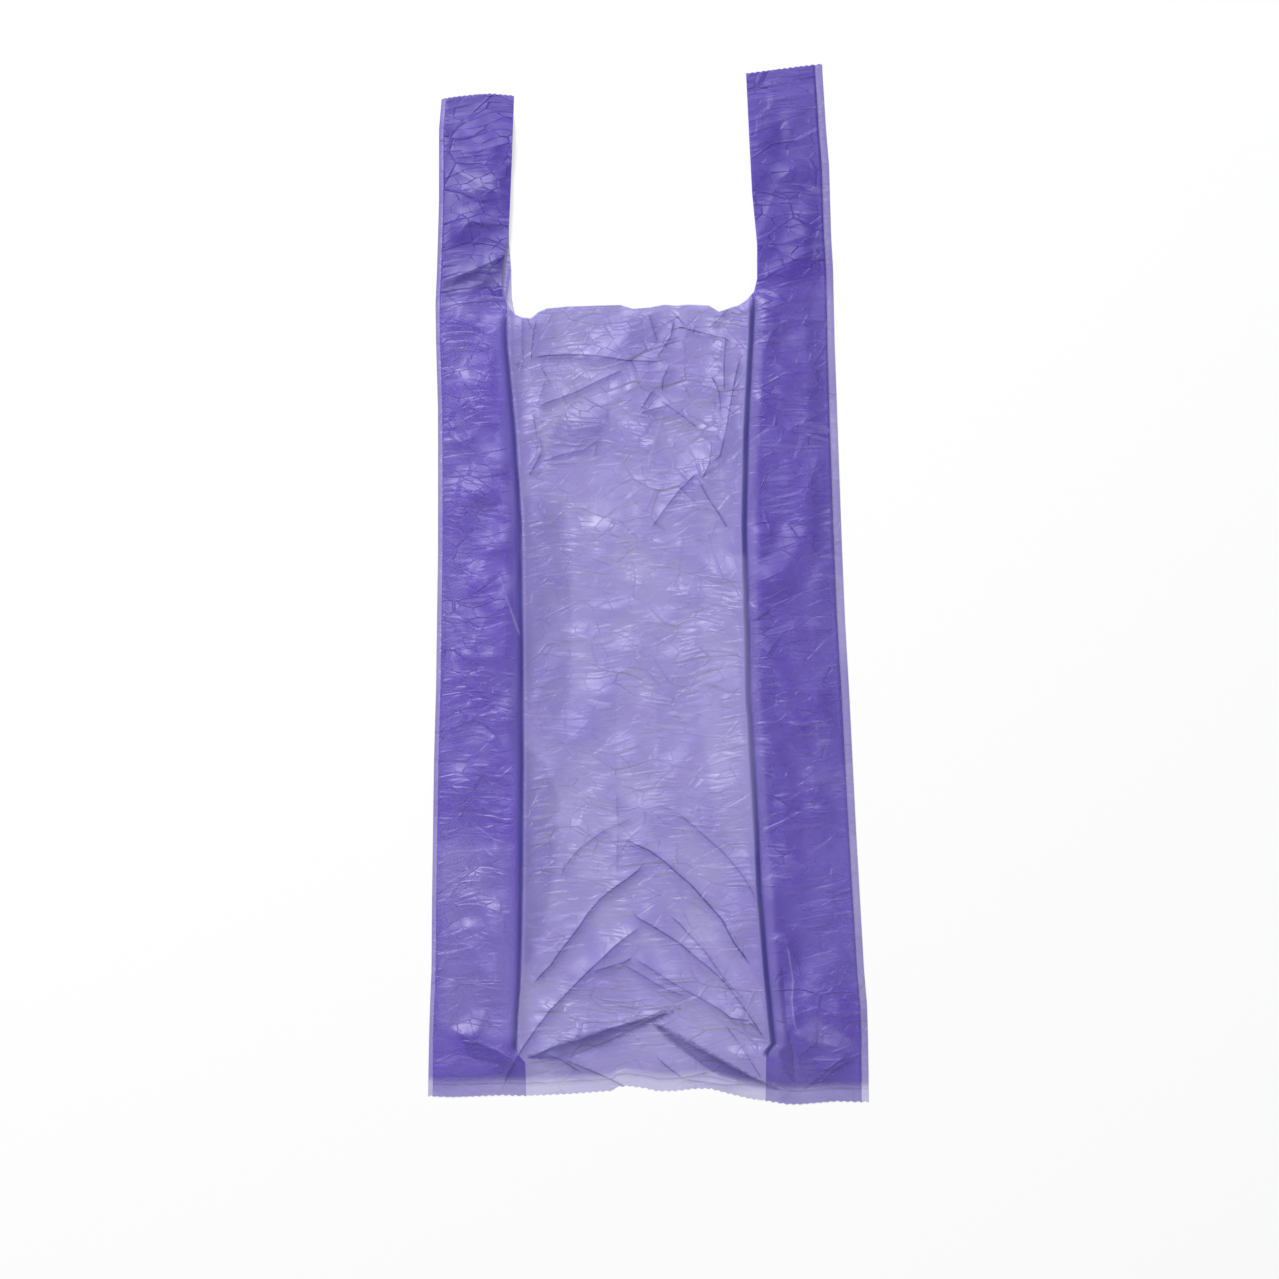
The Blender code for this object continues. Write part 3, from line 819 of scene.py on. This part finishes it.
fine = np.zeros(len(x))
for ridge, foot, darkening, line in creases:
    gap, share, _ = to_line(x, y, line)
    fine += ridge * np.maximum(0, 1 - gap / foot) ** CREASE_SLOPE * tapered(share)
for fx, fy, angle, reach, foot, height in folds:
    near = (np.abs(x - fx) < reach + foot) & (np.abs(y - fy) < reach + foot)
    dx, dy = x[near] - fx, y[near] - fy
    run = (dx * math.cos(angle) + dy * math.sin(angle)) / reach
    off = np.abs(dy * math.cos(angle) - dx * math.sin(angle)) / foot
    fine[near] += height * np.maximum(0, 1 - off) * np.maximum(0, 1 - run**2)
fine *= lively
folded_in = ease((MOUTH + 0.008 - along) / 0.014) * ease((along - 0.018) / 0.004)
for bottom, before, after, depth in GROOVES:
    gap = x - bottom
    groove = np.maximum(0, 1 - np.where(gap < 0, -gap / before, gap / after))
    fine -= depth * folded_in * groove
print("fine relief, mm:", [round(1000 * float(v), 2) for v in (fine.min(), fine.max())])

# %% [markdown]
# The front gets both reliefs, and the layers under it a share of the broad one, so that the whole
# bag swells together. At the welds the layers are pressed to less than a third of their spacing.

# %% Put the relief on
PRESSED = 0.3
WELD_PRESS = 0.004

on_front = np.clip((notes["follows"] - 0.9) / 0.1, 0, 1)
front_relief = np.maximum(fine + broad, 0) * on_front
relief = free * (broad * notes["follows"] + front_relief - broad * on_front)
pressed = PRESSED + (1 - PRESSED) * ease(to_weld / WELD_PRESS)
co[:, 2] = GROUND + (co[:, 2] - GROUND) * pressed + relief
mesh.vertices.foreach_set("co", co.ravel())
mesh.update()
print("highest point, mm:", round(1000 * float(co[:, 2].max()), 2))

# %% [markdown]
# ## Notes for the finish
# The finish needs to know where the film is creased, where it lies tight on the layer below and
# where it stands off, because film that touches white paper looks pale, and under film that stands
# off the floor lies in shade, which is painted as a deeper film. Folded-over film is darkest at its
# crest, partly from its extra layers and partly as painted shade, and some places between the folds
# get painted shade or painted sheen as a whole. These notes are stored on the vertices.

# %% Darts of folded-over film, and patches of painted shade and painted sheen
# darkness, points in the crest, outline that starts with the crest
PLEATS = [
    (0.80, 3, [(445, 281), (471, 272), (502, 258), (508, 243), (502, 284), (471, 290),
               (442, 298)]),
    (0.65, 3, [(446, 237), (471, 223), (508, 226), (506, 238), (471, 240), (446, 247)]),
    (0.92, 6, [(529, 1056), (546, 1049), (576, 1036), (617, 1026), (654, 1017), (678, 1008),
               (654, 1021), (609, 1041), (564, 1059), (546, 1060)]),
    (0.85, 5, [(652.6, 1022.5), (678, 1033.7), (718.7, 1057), (750, 1076), (779.7, 1089.6),
               (745, 1084), (712.6, 1071), (667.8, 1038.8)]),
    (0.60, 5, [(782, 969), (784.5, 1002), (787, 1030), (793, 1058), (794, 1082), (782, 1070),
               (776, 1030), (776, 990)]),
    (0.45, 4, [(457, 1030), (471, 1039), (498, 1050), (515, 1061), (505, 1075), (470, 1055)]),
]
# darkness of the painted shade (negative is a painted sheen), soft edge in mm, outline
SHADE_AND_SHEEN_PATCHES = [
    (0.24, 0.8, [(571, 403), (607, 406), (609, 421), (598, 437), (579, 450), (547, 459),
                 (553, 430)]),
    (-0.30, 0.8, [(537, 414), (571, 403), (553, 430), (543, 453), (537, 446)]),
    (-0.20, 1.0, [(592, 498), (640, 505), (640, 545), (600, 540), (585, 520)]),
    (0.22, 3.5, [(527, 500), (560, 505), (566, 560), (568, 640), (566, 700), (556, 716),
                 (549, 700), (527, 705)]),
    (0.26, 3.0, [(527, 752), (540, 760), (556, 800), (552, 860), (546, 900), (540, 930),
                 (527, 960)]),
    (0.24, 1.0, [(630, 318), (672, 316), (674, 345), (660, 360), (630, 360)]),
    (0.20, 2.0, [(509, 306), (523, 317), (523, 402), (515, 440), (511, 380)]),
    (-0.18, 0.8, [(617, 684), (655, 690), (657, 790), (650, 812), (619, 800)]),
    (-0.22, 4.0, [(712, 560), (741, 560), (750, 760), (750, 850), (722, 820), (700, 700)]),
    (-0.25, 1.0, [(598, 826), (617, 820), (640, 812), (660, 850), (648, 848), (622, 836)]),
    (-0.15, 1.2, [(688, 905), (722, 925), (762, 990), (760, 1030), (722, 990), (690, 950)]),
    (-0.25, 2.0, [(795, 1031), (815, 1020), (849, 1040), (848, 1050), (815, 1040)]),
    (0.35, 1.5, [(815, 1041), (850, 1052), (829, 1067), (806, 1084), (797, 1060)]),
    (0.30, 4.0, [(806, 300), (834, 300), (846, 620), (846, 760), (822, 760), (812, 520)]),
    (-0.35, 8.0, [(446, 850), (503, 850), (505, 1030), (450, 1020)]),
    (0.32, 1.5, [(746, 98), (770, 108), (766, 118), (748, 122)]),
    (0.28, 1.5, [(795, 136), (822, 138), (822, 146), (800, 146)]),
    (0.34, 1.5, [(762, 252), (799, 240), (824, 237), (826, 247), (806, 254), (782, 266),
                 (764, 262)]),
    (0.30, 1.5, [(446, 100), (470, 103), (480, 118), (465, 124), (446, 126)]),
    (0.36, 1.5, [(484, 186), (509, 190), (509, 200), (488, 196)]),
    (0.36, 2.0, [(444, 279), (473, 269), (505, 253), (503, 273), (489, 289), (465, 281),
                 (444, 291)]),
    (0.22, 2.5, [(446, 94), (492, 94), (514, 96), (512, 112), (446, 112)]),
]


def filled(x, y, outline, soft=0.0006):
    """1 inside an outline, falling to 0 just outside it."""
    closed = np.vstack([outline, outline[:1]])
    gap, _, _ = to_line(x, y, closed)
    return np.where(inside(np.column_stack([x, y]), outline), 1.0, 1 - ease(gap / soft))


print("darts:", len(PLEATS), "patches:", len(SHADE_AND_SHEEN_PATCHES))

# %% [markdown]
# A crease is drawn as a fine dark line, with a band of painted shade on the side away from the lamp
# and a band of painted highlight on the lit side, where thin film would glint. A crease with a
# negative value is drawn as a pale line, which is a painted highlight.

# %% Dark lines, painted shade and painted highlights of creases, darts and patches
LINE_WIDTH = 0.0004
SHADED_SIDE, SHADED_WIDTH = 0.65, 0.0020
LIT_SIDE, LIT_WIDTH = 0.50, 0.0014
WELD_INK, WELD_WIDTH = 0.5, 0.0007
HANDLE_INK = 0.42

# dark holds crease lines, welds, folded-over film and a darker handle zone, plus painted shade; pale
# holds only painted highlights and painted sheen.
dark = np.zeros(len(x))
pale = np.zeros(len(x))
for ridge, foot, darkening, line in creases:
    gap, share, shaded = to_line(x, y, line)
    ends = tapered(share, 0.08)
    drawn = abs(darkening) * np.exp(-((gap / LINE_WIDTH) ** 2)) * ends
    if darkening > 0:
        # Painted shade: a dark band on the side of the crease turned away from the lamp.
        shade = SHADED_SIDE * darkening * np.exp(-gap / SHADED_WIDTH) * np.clip(shaded, 0, 1) * ends
        dark = np.maximum(dark, np.maximum(drawn, shade))
        # Painted highlight: a pale band on the side of the crease turned to the lamp.
        lit = np.clip(-shaded, 0, 1) * (1 - np.exp(-((gap / LINE_SIDE) ** 2)))
        pale = np.maximum(pale, LIT_SIDE * darkening * np.exp(-gap / LIT_WIDTH) * lit * ends)
    else:
        # A crease with a negative value is a pale line: a painted highlight.
        pale = np.maximum(pale, drawn)
# A dart darkens its folded-over film, partly for its extra layers and partly as painted shade that
# is darkest along the crest.
for darkening, crest, pixels in PLEATS:
    gap, _, _ = to_line(x, y, traced(pixels[:crest]))
    graded = 0.60 + 0.40 * np.exp(-gap / 0.0030)
    dark = np.maximum(dark, darkening * graded * filled(x, y, traced(pixels)))
# A patch paints shade where its value is positive and sheen where it is negative.
for darkening, soft, pixels in SHADE_AND_SHEEN_PATCHES:
    patch = abs(darkening) * filled(x, y, traced(pixels), soft / 1000)
    if darkening > 0:
        dark = dark + patch * (1 - dark)
    else:
        pale = np.maximum(pale, patch)
for weld in (SKIRT + WELD / 2, LENGTH - HANDLE_SKIRT - WELD / 2):
    dark = np.maximum(dark, WELD_INK * np.exp(-(((along - weld) / WELD_WIDTH) ** 2)))
dark = np.maximum(dark, HANDLE_INK * ease((along - MOUTH + 0.004) / 0.02))
dark *= on_front
print("share of the film under a dark line:", round(float((dark > 0.3).mean()), 3))

# %% [markdown]
# The two gusset folds are the bag's strongest lines. The left one is a dark line with a band of
# painted shade that fades outwards, and the right one a thin dark line with a soft painted shade
# inside it, a painted sheen beside it and a painted shade over the strip. Each is a product of soft
# steps across the fold.

# %% Dark lines, painted shade and painted sheen of the gusset folds, and where the film stands off
tucked = left_in - x
deep = 0.0022 + 0.0040 * ease((along - 0.13) / 0.05) * ease((0.34 - along) / 0.05)
core = 0.97 * ease(tucked / 0.0006 + 0.5) * (1 - ease((tucked - 0.0012) / 0.0020))
# Painted shade: a band beside the left fold that fades outwards.
band = 0.50 * ease(tucked / 0.0004) * (1 - ease((tucked - deep + 0.001) / 0.0045))
dark = np.maximum(dark, on_front * folded_in * np.maximum(core, band))
tucked = x - right_in
core = 0.98 * (1 - ease((np.abs(tucked) - 0.0008) / 0.0012))
# Painted shade inside the right fold, and over the strip beyond it.
inner = 0.30 * np.exp(np.minimum(tucked, 0) / 0.0032) * (tucked < 0)
outer = (0.24 - 0.10 * ease((tucked - 0.010) / 0.008)) * ease((tucked - 0.004) / 0.004)
edge_on = on_front * folded_in
dark = np.maximum(dark, edge_on * np.maximum(core, inner))
dark = np.maximum(dark, on_front * body * outer)
# Painted sheen on the strip beside the right fold.
sheen = ease((tucked - 0.0012) / 0.0010) * (1 - ease((tucked - 0.0042) / 0.0025))
pale = np.maximum(pale, 0.30 * folded_in * sheen)
# Painted shade: the film is made more opaque where it stands off, for the shade on the floor beneath
# it; more in the handles, less along the mouth.
loft_shade = ease((along - SKIRT - WELD / 2) / 0.004) * (0.8 + 0.2 * ease((broad + fine) / 0.003))
loft_shade += 0.25 * ease((along - MOUTH) / 0.01)
loft_shade *= 1 - 0.35 * ease(1 - np.abs(along - MOUTH - 0.002) / 0.010) * on_front

# %% [markdown]
# The middle of the bag is calmer than its two ends, and the side strips are calmer than the
# middle. Two notes tell the finish how crumpled and how ribbed the film is.

# %% Store the notes on the vertices
between_folds = (x > left_in) & (x < right_in)
rows = np.array([place(0, py)[1] for py in (1075, 960, 800, 700, 520, 440, 330, 60)])
crumple = np.interp(y, rows, (1.0, 1.0, 0.9, 0.8, 0.8, 1.0, 1.0, 0.9))
crumple = np.where(between_folds, crumple, 0.75)
crumple *= (0.75 + 0.4 * hills(x, y, 0.025, 12)) * lively
ribs = (0.8 + 0.4 * hills(x, y, 0.030, 14)) * lively
ribs = np.where(between_folds, ribs, 0.55 * ribs)
for name, values in (("dark_and_painted_shade", dark), ("painted_highlight", pale * on_front), ("loft_shade", loft_shade),
                     ("crumple", crumple), ("ribs", ribs)):
    layer = mesh.attributes.new(name, "FLOAT", "POINT")
    layer.data.foreach_set("value", values)
print("share of the film that looks dark:", round(float((dark > 0.3).mean()), 3))

# %% [markdown]
# The flat film's own coordinates, in metres, become its UV map, so that the wrinkles follow the
# film round its folds. Where the tube closes on itself the start gets one whole turn added, or the
# last face would hold the whole pattern squeezed together.

# %% Flat coordinates as a UV map
uv = mesh.uv_layers.new(name="flat_film").data
for polygon in mesh.polygons:
    spans = [notes["around"][mesh.loops[i].vertex_index] for i in polygon.loop_indices]
    wraps = max(spans) - min(spans) > ROUND_TUBE / 2
    for i, span in zip(polygon.loop_indices, spans):
        turn = ROUND_TUBE if wraps and span < ROUND_TUBE / 2 else 0.0
        uv[i].uv = (span + turn, notes["along"][mesh.loops[i].vertex_index])
    polygon.use_smooth = True
print("flat map reaches", round(float(notes["around"].max()), 4), "m round the tube")

# %% [markdown]
# The whole film is one object, which takes the place of the imported node and rides on the one body.
# It is a sheet.

# %% The film as one object
bag = bpy.data.objects.new("carrier_bag_film", mesh)
bpy.context.scene.collection.objects.link(bag)
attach(bag, "root")
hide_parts("carrier_bag")
mesh.calc_loop_triangles()
print("film triangles:", len(mesh.loop_triangles))

# %% [markdown]
# ## Wrinkles too fine to model
# Between the folds the film is full of short ribs a few millimetres apart, and of small facets
# that each lean their own way. Both are a height pattern on the flat film's coordinates. A noise
# pattern stretched along the rib makes the ribs, and a slow one decides where they show. For the
# facets each cell of a Voronoi pattern gets a slope from its random colour, and the borders of the
# cells are the crease lines between them. A slow drift keeps both from looking like a pattern.

# %% Node group: film wrinkles
wrinkles = bpy.data.node_groups.new("film_wrinkles", "ShaderNodeTree")
for name, kind in (("Vector", "NodeSocketVector"), ("Ribs", "NodeSocketFloat"),
                   ("Crinkle", "NodeSocketFloat")):
    wrinkles.interface.new_socket(name=name, in_out="INPUT", socket_type=kind)
for name in ("Height", "Streak", "Line", "Patch"):
    wrinkles.interface.new_socket(name=name, in_out="OUTPUT", socket_type="NodeSocketFloat")


def add_node(tree, kind, inputs=(), **settings):
    """A node with its settings and its inputs: a value, or a socket to link."""
    node = tree.nodes.new(kind)
    for key, value in settings.items():
        setattr(node, key, value)
    for key, value in dict(inputs).items():
        if isinstance(value, bpy.types.NodeSocket):
            tree.links.new(value, node.inputs[key])
        else:
            node.inputs[key].default_value = value
    return node


def maths(tree, operation, a, b=0.0, c=0.0, clamp=False):
    node = add_node(tree, "ShaderNodeMath", {0: a, 1: b, 2: c}, operation=operation,
                    use_clamp=clamp)
    return node.outputs[0]


def noise(tree, vector, scale, detail=2.0, rough=0.5):
    node = add_node(tree, "ShaderNodeTexNoise",
                    {"Vector": vector, "Scale": scale, "Detail": detail, "Roughness": rough},
                    noise_dimensions="2D")
    return node.outputs["Fac"]


def ramped(tree, value, low, high, start=0.0, end=1.0):
    node = add_node(tree, "ShaderNodeMapRange",
                    {"Value": value, "From Min": low, "From Max": high, "To Min": start,
                     "To Max": end}, interpolation_type="SMOOTHSTEP")
    return node.outputs["Result"]


def stretched(tree, vector, scale, turn):
    node = add_node(tree, "ShaderNodeMapping",
                    {"Vector": vector, "Scale": scale, "Rotation": (0, 0, math.radians(turn))})
    return node.outputs["Vector"]


start = wrinkles.nodes.new("NodeGroupInput")
end = wrinkles.nodes.new("NodeGroupOutput")
flat = start.outputs["Vector"]
drift = maths(wrinkles, "SUBTRACT", noise(wrinkles, flat, 28.0, 0.0), 0.5)
pushed = add_node(wrinkles, "ShaderNodeVectorMath", {0: (0.012, 0.010, 0.0), "Scale": drift},
                  operation="SCALE")
warped = add_node(wrinkles, "ShaderNodeVectorMath", {0: flat, 1: pushed.outputs[0]},
                  operation="ADD").outputs[0]
rib_noise = noise(wrinkles, stretched(wrinkles, warped, (40.0, 300.0, 1.0), -7), 1.0, 1.0, 0.5)
where = ramped(wrinkles, noise(wrinkles, flat, 42.0, 1.0), 0.38, 0.56)
# The streak mask raises the ribs and, in the finish, also paints their glints as a lighter colour.
streak = maths(wrinkles, "MULTIPLY", ramped(wrinkles, rib_noise, 0.56, 0.70), where)
streak = maths(wrinkles, "MULTIPLY", streak, start.outputs["Ribs"])
ribbed = maths(wrinkles, "MULTIPLY", where, start.outputs["Ribs"])
print("nodes for the ribs:", len(wrinkles.nodes))


# %% Facets, and the sum of all heights
LARGE_FACET = 2.1
SMALL_FACET = 1.2
RIDGED = 0.9
STREAK_HEIGHT = 0.35


def leaning_cells(tree, vector, scale, turn):
    """Flat facets: round each scattered point the film leans its own way. Also their borders."""
    spots = stretched(tree, vector, scale, turn)
    cell = add_node(tree, "ShaderNodeTexVoronoi", {"Vector": spots, "Scale": 1.0},
                    voronoi_dimensions="2D")
    offset = add_node(tree, "ShaderNodeVectorMath", {0: spots, 1: cell.outputs["Position"]},
                      operation="SUBTRACT").outputs[0]
    lean = add_node(tree, "ShaderNodeVectorMath", {0: cell.outputs["Color"], 1: (0.5, 0.5, 0.5)},
                    operation="SUBTRACT").outputs[0]
    tilt = add_node(tree, "ShaderNodeVectorMath", {0: offset, 1: lean}, operation="DOT_PRODUCT")
    border = add_node(tree, "ShaderNodeTexVoronoi", {"Vector": spots, "Scale": 1.0},
                      voronoi_dimensions="2D", feature="DISTANCE_TO_EDGE").outputs["Distance"]
    settled = maths(tree, "MULTIPLY", tilt.outputs["Value"], ramped(tree, border, 0.0, 0.05))
    return settled, border


large, large_border = leaning_cells(wrinkles, warped, (42.0, 85.0, 1.0), 16)
small, _ = leaning_cells(wrinkles, warped, (115.0, 215.0, 1.0), -24)
facet = maths(wrinkles, "MULTIPLY", large, LARGE_FACET)
facet = maths(wrinkles, "MULTIPLY_ADD", small, SMALL_FACET, facet)
facet = maths(wrinkles, "MULTIPLY", facet, start.outputs["Crinkle"])
ridged = maths(wrinkles, "ABSOLUTE", maths(wrinkles, "SUBTRACT", rib_noise, 0.5))
ridged = maths(wrinkles, "MULTIPLY", maths(wrinkles, "MULTIPLY", ridged, RIDGED), ribbed)
height = maths(wrinkles, "MULTIPLY_ADD", streak, STREAK_HEIGHT, ridged)
height = maths(wrinkles, "ADD", height, facet)
wrinkles.links.new(height, end.inputs["Height"])
creased = maths(wrinkles, "SUBTRACT", 1.0, ramped(wrinkles, large_border, 0.0, 0.035))
creased = maths(wrinkles, "MULTIPLY", creased,
                ramped(wrinkles, noise(wrinkles, flat, 60.0, 0.0), 0.45, 0.62))
creased = maths(wrinkles, "MULTIPLY", creased, start.outputs["Crinkle"])
wrinkles.links.new(creased, end.inputs["Line"])
wrinkles.links.new(streak, end.inputs["Streak"])
wrinkles.links.new(noise(wrinkles, flat, 26.0, 1.0), end.inputs["Patch"])
print("wrinkle group sockets:", [s.name for s in wrinkles.interface.items_tree])

# %% [markdown]
# ## The film's finish
# One Principled BSDF makes the film. Its alpha is how much of the light one layer stops, so two
# layers and four come out right by themselves. It rises where the film stands off, as painted shade
# of the floor beneath it, and on the creases, where the film is doubled or steep or carries painted
# shade. A bump from the wrinkles breaks up the soft shine, and the pale notes and the rib streaks
# are painted highlights that tint the film as its glints do.

# %% Material: purple film
film_finish = bpy.data.materials.new("purple_film")
film_finish.use_nodes = True
tree = film_finish.node_tree
skin = tree.nodes["Principled BSDF"]
skin.inputs["Specular IOR Level"].default_value = 1.0
flat_map = add_node(tree, "ShaderNodeUVMap", uv_map="flat_film").outputs["UV"]


def note(name):
    return add_node(tree, "ShaderNodeAttribute", attribute_name=name).outputs["Fac"]


pattern = add_node(tree, "ShaderNodeGroup", node_tree=wrinkles)
tree.links.new(flat_map, pattern.inputs["Vector"])
tree.links.new(note("ribs"), pattern.inputs["Ribs"])
dark_and_painted_shade, painted_highlight, standing = note("dark_and_painted_shade"), note("painted_highlight"), note("loft_shade")
tree.links.new(note("crumple"), pattern.inputs["Crinkle"])

FILM_COLOUR = (0.086, 0.021, 0.54, 1)
# The deep colour is used for dark lines and for painted shade, the pale one for painted highlights.
DARK_AND_SHADE_COLOUR = (0.008, 0.0005, 0.17, 1)
HIGHLIGHT_COLOUR = (0.62, 0.57, 0.90, 1)
LAYER_ALPHA = 0.22
LOFT_ALPHA = 0.22
PATCH_ALPHA = 0.06
LINE_ALPHA = 0.50
HIGHLIGHT_SHARE = 0.6
STREAK_GLINT_SHARE = 0.16
FINE_LINE_SHARE = 0.25
SMOOTHEST, ROUGHEST, LINE_ROUGHNESS = 0.40, 0.49, 0.25
WRINKLE_HEIGHT = 0.0010


def blended(amount, first, second):
    """A colour between two colours; 0, 6 and 7 are the Mix node's colour sockets."""
    node = add_node(tree, "ShaderNodeMix", {0: amount, 6: first, 7: second}, data_type="RGBA")
    return node.outputs[2]


# Painted highlights: the pale notes and the rib streaks lighten the colour towards a pale violet.
streaks = maths(tree, "MULTIPLY", pattern.outputs["Streak"], STREAK_GLINT_SHARE)
painted_glints = maths(tree, "MAXIMUM", maths(tree, "MULTIPLY", painted_highlight, HIGHLIGHT_SHARE), streaks)
fine_lines = maths(tree, "MULTIPLY", pattern.outputs["Line"], FINE_LINE_SHARE)
# Dark lines and painted shade turn the colour deep violet and make the film more opaque.
darkened = maths(tree, "MAXIMUM", dark_and_painted_shade, fine_lines)
tint = blended(darkened, FILM_COLOUR, DARK_AND_SHADE_COLOUR)
tint = blended(painted_glints, tint, HIGHLIGHT_COLOUR)
tree.links.new(tint, skin.inputs["Base Color"])

# Standing-off film is more opaque: painted shade of the floor beneath it.
alpha = maths(tree, "MULTIPLY_ADD", standing, LOFT_ALPHA, LAYER_ALPHA)
patchy = ramped(tree, pattern.outputs["Patch"], 0.3, 0.7)
alpha = maths(tree, "MULTIPLY_ADD", patchy, PATCH_ALPHA, alpha)
alpha = maths(tree, "MULTIPLY_ADD", darkened, LINE_ALPHA, alpha, clamp=True)
tree.links.new(alpha, skin.inputs["Alpha"])

gloss = ramped(tree, pattern.outputs["Patch"], 0.35, 0.65, SMOOTHEST, ROUGHEST)
gloss = maths(tree, "MULTIPLY_ADD", dark_and_painted_shade, LINE_ROUGHNESS, gloss)
tree.links.new(gloss, skin.inputs["Roughness"])
bump = add_node(tree, "ShaderNodeBump",
                {"Strength": 1.0, "Distance": WRINKLE_HEIGHT,
                 "Height": pattern.outputs["Height"]})
tree.links.new(bump.outputs["Normal"], skin.inputs["Normal"])
mesh.materials.clear()
mesh.materials.append(film_finish)
print("film finish nodes:", len(tree.nodes))
